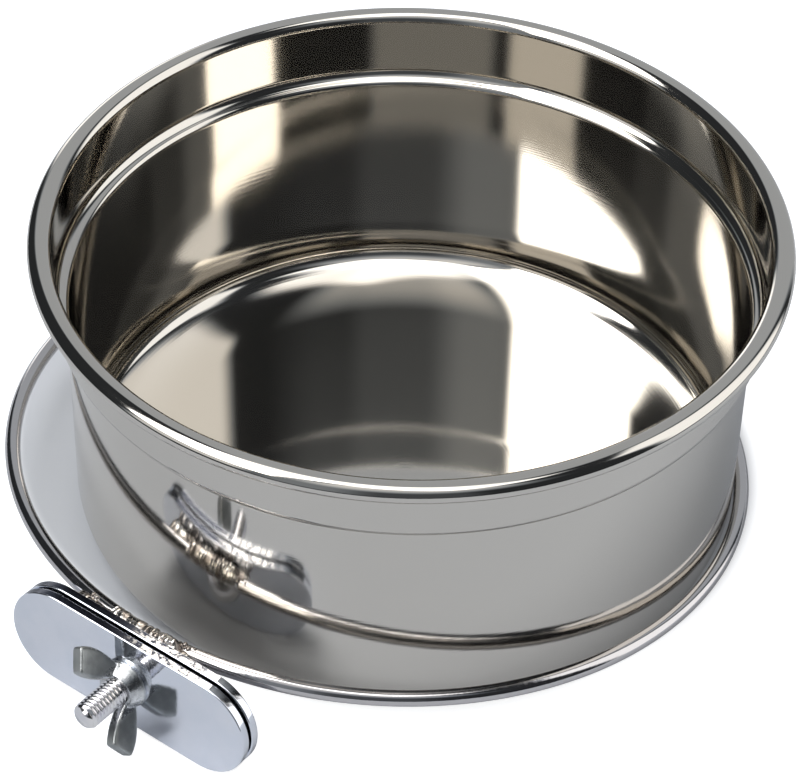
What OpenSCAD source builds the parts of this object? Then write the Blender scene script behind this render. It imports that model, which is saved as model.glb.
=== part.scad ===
// Bolt-on seed cup for a bird cage: a deep-drawn steel cup standing in its wire ring,
// and the ring's two-plate clamp with its bolt and wing nut. Millimetres, +Z up.
// The origin is the middle of the cup's flat base, and the clamp points along -Y.

/* [Cup] */
// Diameter over the rolled rim
rim_d = 160; // [130:1:200]
// Height from the base to the top of the rim
cup_h = 73.3; // [50:0.1:110]
// Thickness of the steel sheet
sheet = 0.7; // [0.4:0.05:0.9]
// Thickness of the rolled rim bead
bead_d = 5; // [4:0.1:6]
// Drop from the top of the rim to where the straight collar ends
collar_drop = 14.9; // [10:0.1:24]
// Width of the ledge between the collar and the body
ledge_w = 2.7; // [2:0.05:3.6]
// Bend radius from the collar into the ledge, at the middle of the sheet
collar_bend = 2.8; // [2.4:0.1:4.5]
// Bend radius from the ledge down into the body, at the middle of the sheet
ledge_bend = 1.1; // [0.8:0.05:1.6]
// Radius by which the body swells towards its base
body_swell = 0.3; // [0:0.05:1]
// Bend radius below the body, outside
corner_r = 5; // [4:0.1:10]
// Radius of the base's rounded edge, which runs from the corner to the flat base, outside
base_r = 34; // [16:0.5:40]
// Slope of that rounded edge where it meets the corner, in degrees
base_slope = 25; // [15:1:35]

/* [Ring] */
// Diameter of the ring's wire
wire_d = 3.4; // [2.4:0.1:4.2]
// Play between the body and the inside of the ring, on the radius
ring_slack = 6.4; // [5:0.1:8]
// Play that is left where the cup stands nearest to the ring
rest_play = 0.4; // [0.3:0.05:2]
// Direction from the ring's middle in which the cup stands, in degrees
rest_side = 42; // [30:1:60]
// Left end of the wire, measured from the bolt
left_gap = 9; // [8.4:0.1:12]
// Right end of the wire, measured from the bolt
right_gap = 7.6; // [7.4:0.1:11]

/* [Clamp plates] */
// Length of the two plates
plate_l = 60; // [44:0.5:80]
// Height of the two plates
plate_h = 22; // [20:0.5:30]
// Thickness of the two plates
plate_t = 2; // [1:0.1:3]
// Rounding of the plates' edges
plate_edge = 0.45; // [0.1:0.05:0.49]
// Gap between the plates as they are shown
jaw_gap = 0.9; // [0.3:0.1:6]
// Space between the wire and the back plate, which the welds fill
weld_gap = 1.65; // [1.3:0.05:3]
// Height of the wire above the bolt
wire_rise = 6.85; // [6:0.05:8]
// Turn of both plates about the bolt, as they were welded, in degrees
plate_turn = -2.3; // [-4:0.1:4]

/* [Bolt] */
// Outer diameter of the bolt's thread
bolt_d = 5.9; // [4:0.1:6.5]
// Length of the bolt in front of the front plate
bolt_reach = 13.3; // [8:0.1:20]
// Diameter of the domed head
head_d = 13; // [11:0.1:13.5]
// Height of the domed head
head_h = 3.9; // [2.5:0.1:4.5]
// Chamfer at the bolt's free end
tip_chamfer = 0.5; // [0.2:0.1:1.2]
// Play of the plates on the bolt, on the radius
plate_play = 0.1; // [0.02:0.01:0.3]

/* [Wing nut] */
// Diameter of the nut's foot
foot_d = 11; // [10:0.1:14]
// Height of the nut's straight foot
foot_h = 1.2; // [0.8:0.1:1.6]
// Diameter of the nut's nose
nose_d = 8.1; // [7.8:0.1:10]
// Height of the nut's hub
hub_h = 3.4; // [3:0.1:5]
// Span over the wing tips
wing_span = 26.2; // [22:0.1:30]
// Height of the wings above the plate
wing_h = 10.4; // [9:0.1:14]
// Thickness of the wings
wing_t = 2.8; // [1.5:0.1:3.2]
// Width of the blunt wing tips
tip_w = 4.6; // [3:0.1:6]
// Angle of the wings about the bolt, in degrees
wing_turn = 121; // [0:1:180]
// Play of the nut on the bolt, on the radius
nut_play = 0.05; // [0.02:0.01:0.1]

/* [Hidden] */
$fn = 96;
arc_steps = 8;
cut = 1;

bead_r = bead_d/2;
rim_r = rim_d/2 - bead_r;
rim_z = cup_h - bead_r;
collar_r = rim_r - bead_r + sheet/2;
body_r = collar_r - ledge_w;
collar_z = cup_h - collar_drop;
ledge_turn = acos(1 - ledge_w/(collar_bend + ledge_bend));
body_z = collar_z - (collar_bend + ledge_bend)*sin(ledge_turn);
low_r = body_r + body_swell;
corner_at = low_r + sheet/2 - corner_r;
corner_z = corner_r + (base_r - corner_r)*(1 - cos(base_slope));
flat_r = corner_at - (base_r - corner_r)*sin(base_slope);
curl_end = -128;

wire_r = wire_d/2;
ring_r = body_r + sheet/2 + ring_slack + wire_r;
shift = ring_slack - rest_play;
ring_x = -shift*cos(rest_side);
ring_y = -shift*sin(rest_side);

// Faces of the clamp, as distances from the ring's middle
back_y = ring_r + wire_r + weld_gap;
gap_y = back_y + plate_t;
jaw_y = gap_y + jaw_gap;
front_y = jaw_y + plate_t;
// The ring's far side and the back plate's lower edge both stand on the ground,
// and that sets how far the ring leans
reach = ring_r + back_y;
straight = plate_l - plate_h;
drop = wire_rise + plate_h/2 + straight/2*abs(sin(plate_turn));
lean = atan(drop/reach) - asin(wire_r/norm([reach, drop]));
ring_z = ring_r*sin(lean) + wire_r;

hole_d = bolt_d + 2*plate_play;
bore_d = bolt_d + 2*nut_play;
wing_r = wing_span/2;
wing_root = nose_d/2 - wing_t/2;
tip_round = 0.7;

// The welds: how far the web reaches along the wire, left and right, how high and how deep it
// stands, how far it runs past the wire's end, and the bead over the bolt's head
left_web = 10.5;
right_web = 3;
web_top = 1.1;
web_foot = 2.3;
bead_step = 1.6;
head_bead_r = 2.6;
head_bite = 0.9;

// Points along a bend of the sheet, on its right side (side 1) or its left side (side -1)
function bend(c, r, a0, a1, side, n = arc_steps) =
    [for (i = [0:n])
        let (a = a0 + (a1 - a0)*i/n, out = a1 > a0 ? side : -side)
        c + (r + out*sheet/2)*[cos(a), sin(a)]];

// The cup's sheet from the middle of the base to the end of the rim's curl
function sheet_side(side) = concat(
    [[0, sheet/2 - side*sheet/2]],
    bend([flat_r, base_r], base_r - sheet/2, -90, base_slope - 90, side),
    past_first(bend([corner_at, corner_z], corner_r - sheet/2, base_slope - 90, 0, side)),
    bend([body_r + ledge_bend, body_z], ledge_bend, 180, 180 - ledge_turn, side),
    past_first(bend([collar_r - collar_bend, collar_z], collar_bend, -ledge_turn, 0, side)),
    bend([rim_r, rim_z], bead_r - sheet/2, 180, curl_end, side, 4*arc_steps));

function past_first(list) = [for (i = [1:len(list) - 1]) list[i]];
function backwards(list) = [for (i = [len(list) - 1:-1:0]) list[i]];

// Points of a curve pulled towards its middle point
function curve(p, q, r, n = arc_steps) =
    [for (i = [0:n]) let (t = i/n) (1 - t)*(1 - t)*p + 2*t*(1 - t)*q + t*t*r];

// Places a child in the leaning ring's own frame: its middle, with the clamp along -Y
module holder_frame() {
    translate([ring_x, ring_y, ring_z])
        rotate([-lean, 0, 0])
            children();
}

// Places a child on the bolt's axis, with the child's +Z pointing out along the bolt
module on_bolt(distance) {
    holder_frame()
        translate([0, -distance, -wire_rise])
            rotate([90, 0, 0])
                children();
}

module cup() {
    color("gainsboro")
        rotate_extrude()
            polygon(concat(sheet_side(1), backwards(sheet_side(-1))));
}

module wire() {
    left_end = asin(left_gap/ring_r);
    right_end = asin(right_gap/ring_r);
    rotate([0, 0, 270 + right_end])
        rotate_extrude(angle = 360 - left_end - right_end)
            translate([ring_r, 0])
                circle(r = wire_r, $fn = 32);
}

module holder_ring() {
    color("silver")
        holder_frame() wire();
}

// Half of a plate's section, from its middle to its rounded edge
module plate_section() {
    half = plate_h/2;
    square([half - plate_edge, plate_t]);
    translate([0, plate_edge]) square([half, plate_t - 2*plate_edge]);
    for (z = [plate_edge, plate_t - plate_edge])
        translate([half - plate_edge, z]) circle(r = plate_edge, $fn = 32);
}

module plate() {
    difference() {
        rotate([0, 0, plate_turn]) {
            for (side = [-1, 1])
                translate([side*straight/2, 0, 0]) rotate_extrude() plate_section();
            rotate([90, 0, 90])
                linear_extrude(height = straight, center = true) {
                    plate_section();
                    mirror([1, 0]) plate_section();
                }
        }
        translate([0, 0, -cut]) cylinder(d = hole_d, h = plate_t + 2*cut);
    }
}

module back_plate() {
    color("lightsteelblue")
        on_bolt(back_y) plate();
}

module front_plate() {
    color("lavender")
        on_bolt(jaw_y) plate();
}

// Bolt with its head behind the back plate: z is 0 at the head's seat
module bolt() {
    shank = front_y - back_y + bolt_reach;
    ball_r = (head_d*head_d/4 + head_h*head_h)/(2*head_h);
    cylinder(d = bolt_d, h = shank - tip_chamfer);
    translate([0, 0, shank - tip_chamfer])
        cylinder(d1 = bolt_d, d2 = bolt_d - 2*tip_chamfer, h = tip_chamfer);
    intersection() {
        translate([0, 0, ball_r - head_h]) sphere(r = ball_r);
        translate([0, 0, -head_h]) cylinder(d = head_d, h = head_h);
    }
}

module clamp_bolt() {
    color("silver")
        on_bolt(back_y) bolt();
}

// A wing's outline, with x away from the bolt and y along it: a full outer edge, a blunt
// tip that slopes inwards and a rounded inner edge
module wing_outline() {
    lean_share = 0.48;
    tip = [wing_r, wing_h - lean_share*tip_w];
    inner = [wing_r - tip_w*cos(asin(lean_share)), wing_h];
    root_out = [foot_d/2 - wing_t/2, foot_h/2];
    root_in = [wing_root, hub_h - foot_h/2];
    belly = [wing_r - foot_h, (root_out[1] + tip[1])/2 - 2*foot_h/3];
    crest = [(root_in[0] + inner[0])/2 - foot_h, (root_in[1] + inner[1])/2 + foot_h];
    polygon(concat(
        curve(root_out, belly, tip - [tip_round/3, tip_round]),
        [tip + [-tip_round/2, tip_round/3]],
        [inner + [tip_round, -tip_round/4]],
        curve(inner - [tip_round/3, tip_round/2], crest, root_in)));
}

module nut() {
    difference() {
        union() {
            cylinder(d = foot_d, h = foot_h);
            translate([0, 0, foot_h])
                cylinder(d1 = foot_d - foot_h/2, d2 = nose_d, h = hub_h - foot_h);
            for (side = [0, 180])
                rotate([90, 0, side + wing_turn])
                    linear_extrude(height = wing_t, center = true) wing_outline();
        }
        translate([0, 0, -cut]) cylinder(d = bore_d, h = hub_h + wing_h);
    }
}

module wing_nut() {
    color("darkgray")
        on_bolt(front_y) nut();
}

// The weld's section beside the wire: a web from the wire out to the plate, hollow on top
module web_section() {
    waist = ring_r + wire_r + weld_gap/3;
    far = ring_r + wire_r + 2*weld_gap + bead_step;
    polygon([[ring_r, web_top], [waist, web_top/2], [far, web_top], [far, -web_foot],
             [waist, -web_foot + web_top/2], [ring_r, -web_foot + web_top/2]]);
}

// The weld's section between the wire's ends: a round bead that bites into the bolt's head
module bead_section() {
    translate([ring_r + head_bite, 0]) circle(r = head_bead_r, $fn = 32);
}

// Carries a section round the ring's middle, between two distances from the bolt
module along_ring(side, from, to) {
    a = asin(from/ring_r);
    b = asin(to/ring_r);
    rotate([0, 0, side > 0 ? 270 + a : 270 - b])
        rotate_extrude(angle = b - a)
            children();
}

// One weld: its bead runs from the middle to the wire's end, and its web from there along
// the wire, both cut back to the plate. The web takes in the wire's outer half
module weld(side, end_gap, web_l) {
    room = 2*(end_gap + web_l);
    intersection() {
        union() {
            along_ring(side, 0, end_gap) bead_section();
            along_ring(side, end_gap - bead_step, end_gap + web_l) web_section();
        }
        translate([0, room/2 - back_y, 0]) cube([2*room, room, room], center = true);
    }
}

module left_weld() {
    color("dimgray")
        holder_frame() weld(-1, left_gap, left_web);
}

module right_weld() {
    color("dimgray")
        holder_frame() weld(1, right_gap, right_web);
}

cup();
holder_ring();
back_plate();
front_plate();
clamp_bolt();
wing_nut();
left_weld();
right_weld();
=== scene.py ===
import math

import bmesh
import bpy
import numpy as np
from mathutils import Matrix, Vector


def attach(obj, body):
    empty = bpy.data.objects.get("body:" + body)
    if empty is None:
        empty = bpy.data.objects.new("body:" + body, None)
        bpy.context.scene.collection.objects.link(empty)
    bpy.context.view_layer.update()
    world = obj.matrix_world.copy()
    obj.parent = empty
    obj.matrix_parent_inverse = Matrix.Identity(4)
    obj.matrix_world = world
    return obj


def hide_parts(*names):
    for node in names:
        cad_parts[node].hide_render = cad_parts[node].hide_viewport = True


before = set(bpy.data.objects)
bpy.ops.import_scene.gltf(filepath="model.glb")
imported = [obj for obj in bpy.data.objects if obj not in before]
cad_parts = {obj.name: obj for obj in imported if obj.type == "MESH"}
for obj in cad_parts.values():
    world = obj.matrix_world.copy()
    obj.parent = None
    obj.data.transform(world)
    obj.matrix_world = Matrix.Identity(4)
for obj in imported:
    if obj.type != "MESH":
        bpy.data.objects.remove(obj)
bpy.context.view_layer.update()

# The cup. One sheet of stainless steel, 0.7 mm thick, drawn in two steps: base, body, a small
# ledge and a collar, with the rim rolled outwards into a bead that is a little flattened.
# Polished to a mirror inside and out, with the faint rings of the polishing wheel.


def bend(centre, radius, start, end, steps, squash=0.0):
    """Points of an arc in the (r, z) plane, angles in degrees, ends included. Its height is
    less than its width by squash on each side."""
    a = np.radians(np.linspace(start, end, steps + 1))
    return np.c_[centre[0] + radius * np.cos(a), centre[1] + (radius - squash) * np.sin(a)]


def supported(path, stub=0.12, longest=6.0, least=1.5):
    """A path with two extra points close to the ends of each straight run over `least`, and
    points at most `longest` apart between them, so that smooth shading stays true on the run."""
    out = [path[0]]
    for a, b in zip(path[:-1], path[1:]):
        length = float(np.hypot(*(b - a)))
        if length > least:
            inner = np.linspace(stub / length, 1 - stub / length, max(2, int(length / longest) + 1))
            out.extend(a + (b - a) * t for t in inner)
        out.append(b)
    return np.array(out)


def quads(rows, cols, round_u, round_v):
    """The four-sided faces of a grid, and the row and the column of each. Row i, column j of
    the grid is point i * cols + j; round_u and round_v close the grid."""
    i, j = np.meshgrid(np.arange(rows - (not round_u)), np.arange(cols - (not round_v)), indexing="ij")
    i, j = i.ravel(), j.ravel()
    i2, j2 = (i + 1) % rows, (j + 1) % cols
    return np.stack([i * cols + j, i * cols + j2, i2 * cols + j2, i2 * cols + j], 1), i, j


def in_scene(name, data):
    """A new object in the scene that holds the given mesh or camera."""
    made = bpy.data.objects.new(name, data)
    bpy.context.scene.collection.objects.link(made)
    return made


def skin(name, grid, round_u=False, round_v=False):
    """A smooth surface from a grid of points (rows x columns x 3, in millimetres), closed as
    round_u and round_v say. The UV map holds a point's share of the way along the rows and
    along the columns. Points that fall together are merged."""
    faces, i, j = quads(*grid.shape[:2], round_u, round_v)
    u = np.stack([i, i, i + 1, i + 1], 1) / (i[-1] + 1)
    v = np.stack([j, j + 1, j + 1, j], 1) / (j[-1] + 1)
    mesh = bpy.data.meshes.new(name)
    mesh.vertices.add(grid.shape[0] * grid.shape[1])
    mesh.vertices.foreach_set("co", (grid.reshape(-1, 3) / 1000).astype(np.float32).ravel())
    mesh.loops.add(faces.size)
    mesh.loops.foreach_set("vertex_index", faces.astype(np.int32).ravel())
    mesh.polygons.add(len(faces))
    mesh.polygons.foreach_set("loop_start", np.arange(0, faces.size, 4, dtype=np.int32))
    mesh.polygons.foreach_set("use_smooth", np.ones(len(faces), dtype=bool))
    layer = mesh.uv_layers.new(name="along")
    layer.data.foreach_set("uv", np.stack([u, v], 2).astype(np.float32).ravel())
    mesh.update(calc_edges=True)
    mesh.validate()
    bm = bmesh.new()
    bm.from_mesh(mesh)
    bmesh.ops.remove_doubles(bm, verts=bm.verts, dist=1e-6)
    bm.to_mesh(mesh)
    bm.free()
    return in_scene(name, mesh)


def turned(path, steps):
    """A profile (r, z) carried once round the Z axis: rows follow the profile."""
    a = np.linspace(0, 2 * math.pi, steps, endpoint=False)
    r, z = path[:, :1], path[:, 1:]
    return np.stack([r * np.cos(a), r * np.sin(a), np.broadcast_to(z, (len(path), steps))], 2)


class Nodes:
    """A short hand for a material's or the world's node tree."""

    def __init__(self, owner):
        owner.use_nodes = True
        self.tree = owner.node_tree
        self.tree.nodes.clear()

    def add(self, kind, inputs=(), **settings):
        """A new node. Each of its inputs is set to a value or linked to a socket."""
        node = self.tree.nodes.new(kind)
        for key, value in settings.items():
            setattr(node, key, value)
        for key, value in dict(inputs).items():
            if isinstance(value, bpy.types.NodeSocket):
                self.tree.links.new(value, node.inputs[key])
            else:
                node.inputs[key].default_value = value
        return node

    def math(self, operation, a, b=0.0, c=0.0):
        """One sum, such as a + b for ADD or a * b + c for MULTIPLY_ADD."""
        return self.add("ShaderNodeMath", {0: a, 1: b, 2: c}, operation=operation).outputs[0]

    def step(self, value, low, high, out_low=0.0, out_high=1.0):
        """A smooth step from out_low to out_high while value goes from low to high."""
        return self.add(
            "ShaderNodeMapRange",
            {0: value, 1: low, 2: high, 3: out_low, 4: out_high},
            interpolation_type="SMOOTHSTEP",
        ).outputs[0]

    def blend(self, share, a, b):
        """Colour a where share is 0, colour b where it is 1, and a mix between."""
        return self.add("ShaderNodeMix", {0: share, 6: a, 7: b}, data_type="RGBA").outputs[2]

    def place(self, kind="Object"):
        """Where a point lies: on the object in metres, or on another map that kind names."""
        return self.add("ShaderNodeTexCoord").outputs[kind]

    def split(self, vector):
        """The x, y and z of a vector."""
        return self.add("ShaderNodeSeparateXYZ", {0: vector}).outputs

    def noise(self, vector, scale, detail, roughness=0.5):
        """Soft noise around 0.5, with scale as its number of cells in a metre."""
        inputs = {"Vector": vector, "Scale": scale, "Detail": detail, "Roughness": roughness}
        return self.add("ShaderNodeTexNoise", inputs).outputs[0]

    def link(self, shader, sockets):
        """Links each socket to the shader's input of that name."""
        for key, socket in sockets.items():
            self.tree.links.new(socket, shader.inputs[key])

    def bump(self, height, strength, distance, normal=None):
        """A normal that leans with the slope of height, on top of another one if given."""
        inputs = {"Height": height, "Strength": strength, "Distance": distance}
        if normal is not None:
            inputs["Normal"] = normal
        return self.add("ShaderNodeBump", inputs).outputs[0]


def metal(name, inputs=()):
    """A material with one metal shader. Returns the material, its nodes and the shader."""
    material = bpy.data.materials.new(name)
    n = Nodes(material)
    shader = n.add("ShaderNodeBsdfPrincipled", {"Metallic": 1.0, **dict(inputs)})
    n.add("ShaderNodeOutputMaterial", {0: shader.outputs[0]})
    return material, n, shader


cup_sheet, cup_rim_r, cup_rim_z, bead_r, bead_squash = 0.7, 77.5, 70.6, 2.5, 0.4
body_r, body_swell, collar_z, collar_bend, ledge_bend = 72.65, 0.3, 58.4, 2.8, 1.1
collar_r = cup_rim_r - bead_r + cup_sheet / 2
corner_r, base_r, base_slope, curl_end = 5.0, 34.0, 25.0, -128
arc_steps, ledge_steps, bead_steps, cup_steps = 20, 16, 56, 300


def sheet_side(side):
    """The cup's section from the middle of the base to the end of the rim's curl: the middle of
    the sheet, moved by half its thickness to the outside (side 1) or the inside (side -1)."""
    half_sheet = cup_sheet / 2
    half = side * half_sheet
    corner_at = body_r + body_swell + half_sheet - corner_r
    corner_z = corner_r + (base_r - corner_r) * (1 - math.cos(math.radians(base_slope)))
    flat_r = corner_at - (base_r - corner_r) * math.sin(math.radians(base_slope))
    ledge_turn = math.degrees(math.acos(1 - (collar_r - body_r) / (collar_bend + ledge_bend)))
    body_z = collar_z - (collar_bend + ledge_bend) * math.sin(math.radians(ledge_turn))
    collar_turn = (collar_r - collar_bend, collar_z)
    return np.vstack([
        [[0, half_sheet - half]],
        bend((flat_r, base_r), base_r - half_sheet + half, -90, base_slope - 90, arc_steps),
        bend((corner_at, corner_z), corner_r - half_sheet + half, base_slope - 90, 0, arc_steps)[1:],
        bend((body_r + ledge_bend, body_z), ledge_bend - half, 180, 180 - ledge_turn, ledge_steps),
        bend(collar_turn, collar_bend + half, -ledge_turn, 0, arc_steps)[1:],
        bend((cup_rim_r, cup_rim_z), bead_r - half_sheet - half, 180, curl_end, bead_steps, bead_squash),
    ])


outside, inside = supported(sheet_side(1)), supported(sheet_side(-1))
cup_wall = turned(np.vstack([outside, inside[::-1]]), cup_steps)
cup = skin("cup_sheet", cup_wall, round_v=True)

mirror_polish = {"Roughness": 0.07, "Base Color": (0.655, 0.625, 0.575, 1)}
cup_steel, n, shader = metal("polished_stainless", mirror_polish)
place = n.place()
x, y, z = n.split(place)
sideways = n.add("ShaderNodeCombineXYZ", {0: x, 1: y}).outputs[0]
from_axis = n.add("ShaderNodeVectorMath", {0: sideways}, operation="LENGTH").outputs[1]
# The polishing wheel's rings: noise that changes only with the distance from the axis and
# with the height, at this many cells in a metre.
wheel_lines = 2600.0
wheel = n.add("ShaderNodeCombineXYZ", {
    0: n.math("MULTIPLY", from_axis, wheel_lines),
    2: n.math("MULTIPLY", z, wheel_lines),
}).outputs[0]
swell = n.bump(n.noise(place, 22.0, 1.0), 0.06, 0.002)
n.link(shader, {"Normal": n.bump(n.noise(wheel, 1.0, 2.0), 0.012, 0.0004, swell)})
cup.data.materials.append(cup_steel)
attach(cup, "cup")
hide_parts("cup")

# The ring. A plated steel wire of 3.4 mm, bent to a circle of 162 mm and left open at the
# clamp, where its two ends are welded on. It leans, because its far side and the lower edge
# of the clamp both stand on the ground. The cup stands to one side in it.
wire_r, ring_slack, left_gap, right_gap = 1.7, 6.4, 9.0, 7.6
rest_play, cup_side = 0.4, math.radians(42)
plate_l, plate_h, plate_turn = 60.0, 22.0, math.radians(-2.3)
weld_gap, wire_rise = 1.65, 6.85
ring_r = body_r + cup_sheet / 2 + ring_slack + wire_r
back_y = ring_r + wire_r + weld_gap
reach = ring_r + back_y
fall = wire_rise + plate_h / 2 + (plate_l - plate_h) / 2 * abs(math.sin(plate_turn))
lean = math.atan(fall / reach) - math.asin(wire_r / math.hypot(reach, fall))
cup_shift = ring_slack - rest_play
ring_x, ring_y = -cup_shift * math.cos(cup_side), -cup_shift * math.sin(cup_side)
ring_z = ring_r * math.sin(lean) + wire_r
ring_steps, wire_steps = 420, 48


def in_holder(points):
    """Carries points from the ring's own frame, with the clamp along -Y, to the object's: they
    turn about X by the ring's lean and move to the place of its middle."""
    c, s = math.cos(lean), math.sin(lean)
    turn = np.array([[1, 0, 0], [0, c, s], [0, -s, c]])
    return points @ turn.T + np.array([ring_x, ring_y, ring_z])


# A circle of wire_r carried along the ring's arc, and drawn in to a point at its flat ends.
start = 1.5 * math.pi + math.asin(right_gap / ring_r)
stop = 3.5 * math.pi - math.asin(left_gap / ring_r)
along = np.concatenate([[start] * 3, np.linspace(start, stop, ring_steps), [stop] * 3])[:, None]
thick = np.concatenate([[0, 0.8, 0.96], np.ones(ring_steps), [0.96, 0.8, 0]])[:, None] * wire_r
around = np.linspace(0, 2 * math.pi, wire_steps, endpoint=False)
out, rise = ring_r + thick * np.cos(around), thick * np.sin(around)
wire_grid = np.stack([out * np.cos(along), out * np.sin(along), rise], 2)
ring = skin("ring_wire", in_holder(wire_grid), round_v=True)

chrome, n, shader = metal("bright_chrome", {"Base Color": (0.62, 0.60, 0.60, 1)})
place = n.place()
grain = n.noise(place, 900.0, 3.0)
n.link(shader, {
    "Normal": n.bump(grain, 0.05, 0.0002, n.bump(n.noise(place, 60.0, 2.0), 0.05, 0.001)),
    "Roughness": n.step(grain, 0.35, 0.75, 0.06, 0.14),
})
ring.data.materials.append(chrome)
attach(ring, "holder")
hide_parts("holder_ring")

# The two clamp plates. Pills of 60 x 22 mm stamped from 2 mm steel, with edges rounded by
# the die, a hole for the bolt, and bright bluish zinc plating.
plate_t, plate_edge, jaw_gap = 2.0, 0.3, 0.9
bolt_r, plate_play, hole_edge = 2.95, 0.1, 0.15
hole_r = bolt_r + plate_play
jaw_y = back_y + plate_t + jaw_gap
front_y = jaw_y + plate_t
end_points, straight_points = 49, 14


def pill(half_l, radius):
    """The outline of a pill: two half circles and the straight runs between them, and the
    direction outwards at each point."""
    a = np.radians(np.linspace(-90, 90, end_points))
    round_end = np.c_[np.cos(a), np.sin(a)]
    right = [half_l, 0] + radius * round_end
    x = np.linspace(half_l, -half_l, straight_points)[1:-1]
    top = np.c_[x, np.full(len(x), radius)]
    up = np.tile([0.0, 1.0], (len(x), 1))
    return np.vstack([right, top, -right, -top]), np.vstack([round_end, up, -round_end, -up])


def plate_grid():
    """A plate's skin: a loop through hole wall, front, rounded edge and back, carried round
    the pill's outline. z is 0 at the back face and plate_t at the front. On a rounded edge
    the outline draws in by plate_edge * (1 - cos) where it rises by plate_edge * sin."""
    outline, outward = pill((plate_l - plate_h) / 2, plate_h / 2)
    angle = np.arctan2(outline[:, 1], outline[:, 0])
    eye = np.c_[np.cos(angle), np.sin(angle)]
    rows = []

    def row(points, z):
        rows.append(np.c_[points, np.full(len(points), z)])

    def face(share, z):
        row(eye * (hole_r + 2 * hole_edge) * (1 - share) + (outline - outward * plate_edge) * share, z)

    def edge(degrees, z):
        a = math.radians(degrees)
        row(outline - outward * plate_edge * (1 - math.cos(a)), z + plate_edge * math.sin(a))

    shares, edge_turns, seam = (0.25, 0.5, 0.75, 0.97), np.linspace(90, 0, 9)[:-1], 0.02
    row(eye * hole_r, hole_edge)
    row(eye * hole_r, plate_t - hole_edge)
    row(eye * (hole_r + hole_edge / 5), plate_t - hole_edge / 5)
    row(eye * (hole_r + hole_edge), plate_t)
    row(eye * (hole_r + 2 * hole_edge), plate_t)
    for share in shares:
        face(share, plate_t)
    for degrees in edge_turns:
        edge(degrees, plate_t - plate_edge)
    row(outline, plate_t - plate_edge - seam)
    row(outline, plate_edge + seam)
    for degrees in edge_turns[::-1]:
        edge(-degrees, plate_edge)
    for share in shares[::-1]:
        face(share, 0.0)
    row(eye * (hole_r + hole_edge), 0.0)
    row(eye * (hole_r + hole_edge / 5), hole_edge / 5)
    return np.array(rows)


def on_bolt(grid, distance):
    """Places a grid with its own +z pointing out along the bolt, at a distance from the ring's
    middle: x stays, y turns up and z turns outwards."""
    x, y, z = grid[..., 0], grid[..., 1], grid[..., 2]
    return in_holder(np.stack([x, -distance - z, y - wire_rise], -1))


def welded_turn(grid):
    """A grid turned about the bolt as the plates were welded, a little off level."""
    c, s = math.cos(plate_turn), math.sin(plate_turn)
    return grid @ np.array([[c, s, 0], [-s, c, 0], [0, 0, 1]])


zinc, n, shader = metal("blue_zinc")
place = n.place()
cloud, grain = n.noise(place, 110.0, 3.0, 0.6), n.noise(place, 1500.0, 2.0)
tint = n.blend(n.step(cloud, 0.35, 0.65), (0.82, 0.85, 0.92, 1), (0.87, 0.89, 0.95, 1))
# The sheared edge lies at a UV of about 0.53. It is rough between x = -8 and 16 mm, with painted dark and
# bright reflection strips there, a painted dark reflection before that, and bright again round the right
# end.
along_loop, sideways = n.split(n.place("UV"))[0], n.split(place)[0]
cut = n.math("MULTIPLY", n.step(along_loop, 0.49, 0.515), n.step(along_loop, 0.545, 0.575, 1.0, 0.0))
cut = n.math("MULTIPLY", cut, n.step(sideways, 0.011, 0.016, 1.0, 0.0))
# Patches that break the edge's painted dark reflection with painted bright strips.
strip_patches = n.step(n.noise(place, 620.0, 3.0, 0.7), 0.43, 0.56)
painted_bright = n.math("MULTIPLY", n.step(sideways, -0.008, 0.001), strip_patches)
# The edge's colour: a near-black painted dark reflection, and painted bright strips in patches.
painted_edge_colour = n.blend(painted_bright, (0.05, 0.055, 0.075, 1), (0.9, 0.88, 0.86, 1))
n.link(shader, {
    "Base Color": n.blend(cut, tint, painted_edge_colour),
    "Roughness": n.math("MULTIPLY_ADD", cut, 0.16, n.step(cloud, 0.3, 0.7, 0.06, 0.12)),
    "Normal": n.bump(grain, 0.03, 0.0002, n.bump(cloud, 0.03, 0.001)),
})
plates = (
    ("back_pill", "back_plate", "holder", back_y),
    ("front_pill", "front_plate", "front_plate", jaw_y),
)
for name, node, body, distance in plates:
    pill_plate = skin(name, on_bolt(welded_turn(plate_grid()), distance), round_u=True, round_v=True)
    pill_plate.data.materials.append(zinc)
    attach(pill_plate, body)
    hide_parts(node)

# The bolt. M6 with a coarse rolled thread of 1 mm pitch, a chamfered flat end, and a low
# domed head behind the back plate, under the weld.
pitch, bolt_reach, tip_chamfer = 1.0, 13.3, 0.5
head_r, head_h, neck, dome_points, turn_rows = 6.5, 3.9, 0.1, 20, 16
thread_depth, crest, root, thread_start, thread_fade = 0.58, 0.12, 0.86, 0.5, 0.6


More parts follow.
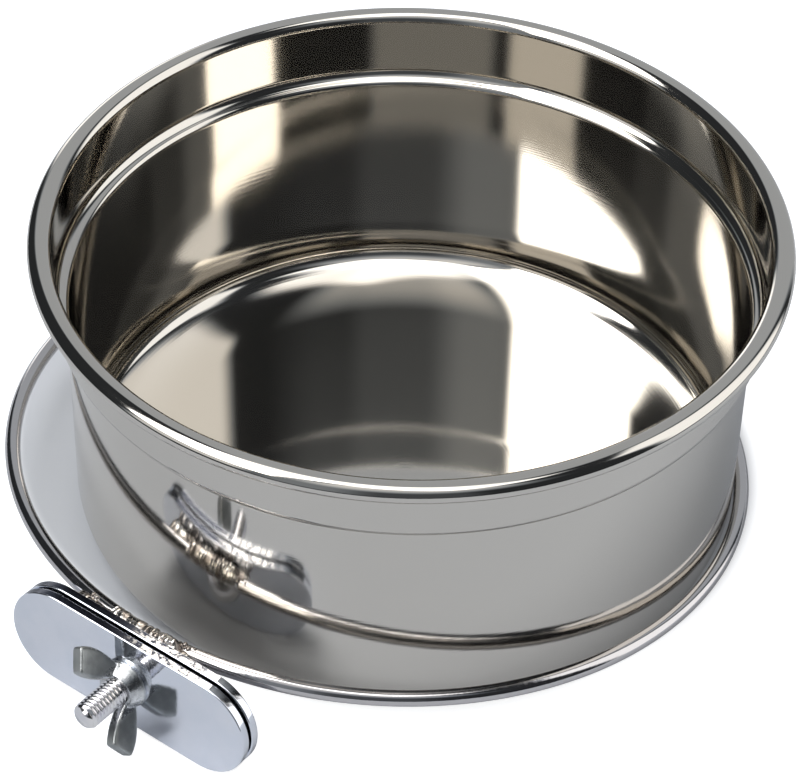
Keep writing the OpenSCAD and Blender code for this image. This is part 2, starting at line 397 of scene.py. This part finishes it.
def bolt_grid(columns=96):
    """The bolt's skin from the crown of its head to the middle of its end. Where it is threaded,
    the radius follows a 60 degree thread: its depth depends on z / pitch - angle / turn."""
    shank = front_y - back_y + bolt_reach
    ball = (head_r**2 + head_h**2) / (2 * head_h)
    a = np.linspace(0, math.asin(head_r / ball), dome_points)
    dome = np.c_[ball * np.sin(a), ball * (1 - np.cos(a)) - head_h]
    dome[-1] = (head_r, 0)
    z = np.arange(0, shank + 1e-6, pitch / turn_rows)
    under_head = [(head_r - neck, 0), (bolt_r + neck, 0)]
    end = [(bolt_r, shank), (0, shank)]
    path = np.vstack([dome, under_head, np.c_[np.full(len(z), bolt_r), z], end])
    r, z = path[:, :1], path[:, 1:]
    angle = np.linspace(0, 2 * math.pi, columns, endpoint=False)
    turn = np.mod(z / pitch - angle / (2 * math.pi), 1.0)
    tooth = (np.clip(np.abs(turn - 0.5) * 2, crest, root) - crest) / (root - crest)
    threaded = np.clip((z - thread_start) / thread_fade, 0, 1)
    threaded[-len(end):] = 0
    chamfer = np.where(z > shank - tip_chamfer, bolt_r - (z - shank + tip_chamfer), np.inf)
    radius = np.minimum(r - tooth * thread_depth * threaded, chamfer)
    return np.stack([radius * np.cos(angle), radius * np.sin(angle), np.broadcast_to(z, radius.shape)], 2)


bolt = skin("threaded_bolt", on_bolt(bolt_grid(), back_y), round_v=True)
plated, n, shader = metal("plated_thread")
place = n.place()
grain, stain = n.noise(place, 1200.0, 3.0), n.noise(place, 260.0, 2.0)
n.link(shader, {
    "Base Color": n.blend(n.step(stain, 0.35, 0.7), (0.80, 0.79, 0.82, 1), (0.92, 0.90, 0.88, 1)),
    "Roughness": n.step(grain, 0.3, 0.7, 0.06, 0.14),
    "Normal": n.bump(grain, 0.12, 0.0002),
})
bolt.data.materials.append(plated)
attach(bolt, "holder")
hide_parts("clamp_bolt")

# The wing nut. A zinc casting: a round foot, a cone and two blunt wings that spring from the foot, all run
# together by the mould's fillets. Dull, with a painted highlight along its edges.
foot_r, foot_h, nose_r, hub_h, nut_play = 5.5, 1.2, 4.05, 3.4, 0.05
foot_round, foot_fall, foot_shoulder, nose_fall = 0.35, 0.4, 0.3, 0.6
eye_r = bolt_r + nut_play
wing_half_t, wing_turn, wing_square = 1.4, math.radians(121), 0.3
tip_start, tip_width, tip_thickness, nut_voxel = 0.985, 0.93, 0.85, 0.15
# The wings' edges, as distance from the bolt and height: the foot of each, the point that
# it is pulled towards, and its tip.
outer_edge = ((4.1, 0.6), (11.9, 3.6), (13.0, 7.5))
inner_edge = ((2.65, 2.8), (4.66, 7.8), (8.5, 10.3))


def lump(points, closed=True):
    """A grid as (vertices, faces) for a fused casting. It is a closed ring, or, where closed is
    false, a finger whose first and last rows are each one point."""
    return points.reshape(-1, 3), quads(*points.shape[:2], closed, True)[0]


def fused(name, lumps, voxel, smooth):
    """Several closed lumps as one casting: joined, remeshed in voxels and smoothed."""
    verts = np.vstack([v for v, _ in lumps])
    shift = np.cumsum([0] + [len(v) for v, _ in lumps])
    faces = np.vstack([f + shift[k] for k, (_, f) in enumerate(lumps)])
    mesh = bpy.data.meshes.new(name)
    mesh.from_pydata((verts / 1000).tolist(), [], faces.tolist())
    bm = bmesh.new()
    bm.from_mesh(mesh)
    bmesh.ops.remove_doubles(bm, verts=bm.verts, dist=1e-6)
    bmesh.ops.dissolve_degenerate(bm, edges=bm.edges, dist=1e-7)
    bmesh.ops.recalc_face_normals(bm, faces=bm.faces)
    bm.to_mesh(mesh)
    bm.free()
    made = in_scene(name, mesh)
    remesh = made.modifiers.new("voxels", "REMESH")
    remesh.mode, remesh.voxel_size, remesh.use_smooth_shade = "VOXEL", voxel / 1000, True
    soften = made.modifiers.new("fillets", "SMOOTH")
    soften.factor, soften.iterations = 0.5, smooth
    shown = made.evaluated_get(bpy.context.evaluated_depsgraph_get())
    final = bpy.data.meshes.new_from_object(shown)
    made.modifiers.clear()
    made.data = final
    final.name = name
    final.polygons.foreach_set("use_smooth", np.ones(len(final.polygons), dtype=bool))
    return made


def wing_grid(turn, columns=40, rows=30):
    """A wing between its outer and its inner edge, each a curve pulled towards a middle point. A
    row is a superellipse from edge to edge, wide in the wing's plane and thin across it. The
    wing then turns about the bolt."""
    t = np.linspace(0, 1, rows)[:, None]

    def pulled(points):
        p, q, r = np.array(points)
        return (1 - t) ** 2 * p + 2 * t * (1 - t) * q + t**2 * r

    outer, inner = pulled(outer_edge), pulled(inner_edge)
    middle, across = (outer + inner) / 2, outer - inner
    width = np.linalg.norm(across, axis=1)[:, None] / 2
    across = across / (2 * width)
    width = width * np.where(t > tip_start, tip_width, 1)
    thick = wing_half_t * np.where(t > tip_start, tip_thickness, 1)
    a = np.linspace(0, 2 * math.pi, columns, endpoint=False)
    c, s = np.cos(a), np.sin(a)
    square_c, square_s = np.sign(c) * np.abs(c) ** wing_square, np.sign(s) * np.abs(s) ** wing_square
    rho = middle[:, :1] + across[:, :1] * width * square_c
    lift = middle[:, 1:] + across[:, 1:] * width * square_c
    flat = thick * square_s

    def ends(g):
        return np.vstack([np.full((1, columns), g[0].mean()), g, np.full((1, columns), g[-1].mean())])

    rho, lift, flat = ends(rho), ends(lift), ends(flat)
    c, s = math.cos(turn), math.sin(turn)
    return np.stack([rho * c - flat * s, rho * s + flat * c, lift], 2)


hub_path = np.array([
    (eye_r, 0.0),
    (foot_r - foot_round, 0.0),
    (foot_r, foot_round),
    (foot_r, foot_h - foot_fall),
    (foot_r - foot_shoulder, foot_h),
    (nose_r + foot_round, hub_h - nose_fall),
    (nose_r, hub_h),
    (eye_r, hub_h),
    (eye_r, 0.0),
])
hub = turned(supported(hub_path, 0.1, 0.6, 0.4)[:-1], 72)
wings = [lump(wing_grid(wing_turn + half), False) for half in (0, math.pi)]
nut = fused("cast_wing_nut", [lump(hub)] + wings, nut_voxel, 3)
# The UV map holds each point's distance from the bolt's axis and its height on it, in mm.
cast = np.empty(len(nut.data.vertices) * 3, dtype=np.float32)
nut.data.vertices.foreach_get("co", cast)
cast = cast.reshape(-1, 3) * 1000.0
corner = np.empty(len(nut.data.loops), dtype=np.int32)
nut.data.loops.foreach_get("vertex_index", corner)
from_bolt = np.c_[np.hypot(cast[:, 0], cast[:, 1]), cast[:, 2]][corner]
nut.data.uv_layers.new(name="from_bolt").data.foreach_set("uv", from_bolt.astype(np.float32).ravel())
nut.data.vertices.foreach_set("co", (on_bolt(cast, front_y) / 1000).astype(np.float32).ravel())
nut.data.update()

casting, n, shader = metal("dull_zinc_casting")
place = n.place()
grain, patch = n.noise(place, 1100.0, 4.0, 0.7), n.noise(place, 240.0, 3.0)
edge = n.step(n.add("ShaderNodeNewGeometry").outputs["Pointiness"], 0.52, 0.6)
on_wings = n.step(n.split(n.place("UV"))[0], 4.6, 6.2)
dull = n.blend(n.step(patch, 0.35, 0.7), (0.32, 0.335, 0.33, 1), (0.46, 0.475, 0.47, 1))
bright = n.blend(n.step(patch, 0.4, 0.6), (0.55, 0.56, 0.57, 1), (0.86, 0.87, 0.87, 1))
# A painted highlight: the sharp edges are painted bright.
painted_bright = n.math("MULTIPLY", edge, 0.8)
n.link(shader, {
    "Base Color": n.blend(painted_bright, n.blend(on_wings, bright, dull), (0.82, 0.83, 0.84, 1)),
    "Roughness": n.math("MULTIPLY_ADD", on_wings, 0.16, n.step(grain, 0.3, 0.7, 0.16, 0.3)),
    "Normal": n.bump(grain, 0.15, 0.0003, n.bump(patch, 0.12, 0.0008)),
})
nut.data.materials.append(casting)
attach(nut, "wing_nut")
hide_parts("wing_nut")

# The welds. Uneven runs laid by hand between the wire's ends and the back plate, and over
# the bolt's head between them, with a few drops of spatter, all plated over.
head_bite, head_run_w, head_run_h, draw_length = 0.9, 2.35, 2.5, 1.5
web_h, web_lift, web_ripple, run_rows, weld_voxel = 1.35, 0.1, 0.05, 60, 0.15
# The drops: the x of each, its distance from the ring's middle, its height and its radius.
left_drops = (
    (-16.0, 80.3, 1.5, 0.6),
    (-14.9, 80.6, 1.6, 0.5),
    (-11.4, 82.6, 1.0, 0.9),
    (-10.0, 82.8, 1.1, 0.8),
    (-8.6, 81.2, 1.9, 0.6),
    (-7.3, 81.6, 2.0, 0.7),
    (-4.8, 83.3, 1.6, 0.7),
    (-3.4, 83.4, 1.7, 0.6),
)
right_drops = (
    (2.2, 82.6, 2.1, 0.9),
    (3.6, 82.1, 2.4, 0.7),
    (4.8, 82.4, 2.3, 0.8),
    (6.1, 81.9, 2.2, 0.9),
    (8.1, 80.6, 1.9, 0.6),
    (9.2, 80.9, 1.6, 0.6),
    (10.3, 80.2, 1.7, 0.4),
)


def wire_line(x):
    """How far towards the clamp the wire's middle lies at x: the height of a circle there."""
    return np.sqrt(ring_r**2 - x * x)


def run(x, off, lift, wide, high, seed, ripple, columns=28):
    """A weld run along x in the ring's own frame. Its section is an oval that lies off towards
    the clamp and lift above the ring's plane. The oval's size waves with a sum of sines, and
    draws in round at both ends."""
    x = x[:, None]
    a = np.linspace(0, 2 * math.pi, columns, endpoint=False)
    end = np.clip(np.minimum(x - x.min(), x.max() - x) / draw_length, 0, 1)
    draw = np.sqrt(1 - (1 - end) ** 2)
    slow = np.sin(2.3 * x + seed + 1.8 * np.sin(0.7 * x) + 1.5 * np.sin(a))
    middling = 0.25 * np.sin(5.7 * x + 1.2 * np.sin(1.7 * x) + seed - 2 * a)
    quick = 0.1 * np.sin(9.1 * x + 3 * a)
    size = draw * (1 + ripple * (slow + middling + quick))
    y = -off[:, None] + wide[:, None] * size * np.cos(a)
    z = lift + high * size * np.sin(a)
    return in_holder(np.stack([np.broadcast_to(x, y.shape), y, z], 2))


def drop(x, off, lift, size, columns=16, rows=10):
    """A drop of spatter: a ball of radius size, its rows from pole to pole."""
    a = np.linspace(0, 2 * math.pi, columns, endpoint=False)
    b = np.linspace(-math.pi / 2, math.pi / 2, rows)[:, None]
    ball = np.stack([np.cos(b) * np.cos(a), np.cos(b) * np.sin(a), np.sin(b) * np.ones(columns)], 2)
    return in_holder(ball * size + np.array([x, -off, lift]))


def web(first, last, seed):
    """The run that fills the space between the wire and the back plate, half that wide to
    either side of the space's middle."""
    x = np.linspace(first, last, run_rows)
    reach = (back_y - wire_line(x)) / 2
    return run(x, wire_line(x) + reach, web_lift, reach, web_h, seed, web_ripple)


def bridge(first, last, seed, ripple):
    """The run over the bolt's head, between the wire's ends. It follows a circle that is larger
    than the ring by head_bite."""
    x = np.linspace(first, last, run_rows)
    off, wide = np.sqrt((ring_r + head_bite) ** 2 - x * x), np.full(run_rows, head_run_w)
    return run(x, off, 0.0, wide, head_run_h, seed, ripple)


left = [web(-19.8, -6.6, 1.0), bridge(-10.2, 0.9, 2.0, 0.03)] + [drop(*at) for at in left_drops]
right = [bridge(-0.9, 7.9, 4.0, 0.06), web(5.8, 10.8, 5.0)] + [drop(*at) for at in right_drops]
molten, n, shader = metal("plated_weld")
place = n.place()
grain, burn = n.noise(place, 700.0, 4.0, 0.65), n.noise(place, 300.0, 2.0)
n.link(shader, {
    "Base Color": n.blend(n.step(burn, 0.42, 0.6), (0.34, 0.30, 0.27, 1), (0.85, 0.82, 0.78, 1)),
    "Roughness": n.step(burn, 0.35, 0.65, 0.3, 0.08),
    "Normal": n.bump(grain, 0.25, 0.0004),
})
for name, node, beads in (("left_weld_bead", "left_weld", left), ("right_weld_bead", "right_weld", right)):
    weld = fused(name, [lump(bead, False) for bead in beads], weld_voxel, 2)
    weld.data.materials.append(molten)
    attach(weld, "holder")
    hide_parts(node)

# The studio. A pale floor in a grey room, with a tall soft light on the left, a wider and
# weaker one on the right and one overhead, and fainter ones low down and at the camera's side.
floor_half = 0.4
corners = (floor_half * np.array([(-1, -1, 0), (1, -1, 0), (1, 1, 0), (-1, 1, 0)])).tolist()
floor_mesh = bpy.data.meshes.new("floor")
floor_mesh.from_pydata(corners, [], [(0, 1, 2, 3)])
floor = in_scene("floor", floor_mesh)
paper = bpy.data.materials.new("pale_floor")
n = Nodes(paper)
matt = n.add("ShaderNodeBsdfDiffuse", {"Color": (0.52, 0.54, 0.575, 1)})
# Outside the oval that the ring covers on the floor, as the camera sees it, the floor is
# washed white. The ring leans and lies above the floor, so the oval is sheared and flattened,
# and its middle is farther from the camera than the ring's.
oval_at_x, oval_at_y, oval_shear, oval_flat = -0.0105, 0.005, -0.062, 0.907
x, y, z = n.split(n.place())
oval_y = n.math("MULTIPLY_ADD", y, 1 / oval_flat, -oval_at_y / oval_flat)
oval_x = n.math("ADD", n.math("MULTIPLY_ADD", oval_y, oval_shear, x), -oval_at_x)
squares = n.math("ADD", n.math("MULTIPLY", oval_x, oval_x), n.math("MULTIPLY", oval_y, oval_y))
# The wash is painted light, seen only by the camera: left out within the oval, it makes the floor there
# read darker.
wash = n.step(n.math("SQRT", squares), 0.081, 0.087, 0.04, 0.85)
seen = n.add("ShaderNodeLightPath").outputs["Is Camera Ray"]
glow = n.add("ShaderNodeEmission", {"Color": (1, 1, 1, 1), "Strength": n.math("MULTIPLY", seen, wash)})
both = n.add("ShaderNodeAddShader", {0: matt.outputs[0], 1: glow.outputs[0]})
n.add("ShaderNodeOutputMaterial", {0: both.outputs[0]})
floor_mesh.materials.append(paper)

world = bpy.data.worlds.new("studio")
bpy.context.scene.world = world
n = Nodes(world)
# az and el are a ray's compass and its rise in degrees. flat_x and flat_y say where it meets
# a ceiling one unit up: straight edges of the lamps stay straight there.
x, y, z = n.split(n.place("Generated"))
degrees = 180 / math.pi
az = n.math("MULTIPLY", n.math("ARCTAN2", y, x), degrees)
level = n.math("MINIMUM", n.math("MAXIMUM", z, -1.0), 1.0)
el = n.math("MULTIPLY", n.math("ARCSINE", level), degrees)
up = n.math("MAXIMUM", z, 0.05)
flat_x, flat_y = n.math("DIVIDE", x, up), n.math("DIVIDE", y, up)


def window(value, low, high, soft):
    """1 between low and high, with edges that fade over soft."""
    rising = n.step(value, low - soft, low + soft)
    falling = n.step(value, high - soft, high + soft, 1.0, 0.0)
    return n.math("MULTIPLY", rising, falling)


def slant(a, share, b, offset):
    """1 where a * share + b + offset is above 0, for the slanted edges of the soft boxes."""
    return n.step(n.math("ADD", n.math("MULTIPLY_ADD", a, share, b), offset), -0.05, 0.05)


def lamp(power, *windows):
    """A soft light of the given power where all of its windows are open."""
    for opening in windows:
        power = n.math("MULTIPLY", power, opening)
    return power


left_side, left_front = n.step(flat_x, -0.14, -0.06, 1.0, 0.0), n.step(flat_y, -0.05, 0.05, 1.0, 0.0)
left_box = lamp(5.0, left_side, left_front, slant(flat_y, -0.75, flat_x, 0.475), n.step(el, 28, 33))
left_strip = lamp(0.8, window(az, -134, -99, 4), window(el, 4, 31, 3))
right_box = lamp(1.35, window(az, 14, 63, 4), slant(flat_x, 0.42, flat_y, -0.55), n.step(el, -8, 0))
overhead = lamp(2.0, window(flat_x, -0.42, 0.34, 0.05), window(flat_y, -0.23, 0.19, 0.06))
camera_haze = lamp(0.05, window(az, -92, -37, 5), n.step(el, -6, 0))
clamp_haze = lamp(0.18, window(az, -98, -70, 8), n.step(el, -6, 0))
above_camera = lamp(0.6, window(az, -95, -12, 12), n.step(el, 36, 68))
far_strip = lamp(1.2, window(az, 136, 152, 3), window(el, -3, 15, 2))
far_wall, darkness = lamp(0.45, window(az, 74, 152, 5)), 0.03
lamps = (left_box, left_strip, right_box, overhead, camera_haze, clamp_haze, above_camera, far_strip)
total = n.math("ADD", darkness, far_wall)
for light in lamps:
    total = n.math("ADD", total, light)
cool = n.blend(n.step(total, 0.1, 0.9), (0.9, 0.99, 1.1, 1), (1, 1, 1, 1))
seen = n.add("ShaderNodeLightPath").outputs["Is Camera Ray"]
strength = n.add("ShaderNodeMix", {0: seen, 2: total, 3: 1.0}).outputs[0]
back = n.add("ShaderNodeBackground", {0: n.blend(seen, cool, (1, 1, 1, 1)), 1: strength})
n.add("ShaderNodeOutputWorld", {0: back.outputs[0]})

# The camera, in metres. Its place and the directions of its right and its down were worked
# out from the ellipses that the rim, the ledge, the base and the ring make in its picture.
camera = in_scene("camera", bpy.data.cameras.new("camera"))
camera.data.lens, camera.data.sensor_width = 126.0, 36.0
right_way = np.array([0.82098409, 0.57063546, 0.0189814])
down_way = np.array([0.39662527, -0.54608754, -0.73788671])
ahead = np.cross(right_way, down_way)
pose = Matrix([list(right_way), list(-down_way), list(-ahead)]).transposed().to_4x4()
pose.translation = Vector((0.25124415, -0.37815284, 0.44104459))
camera.matrix_world = pose
camera.data.clip_start = 0.01
bpy.context.scene.camera = camera
bpy.context.scene.view_settings.view_transform = "Standard"

bpy.context.view_layer.update()
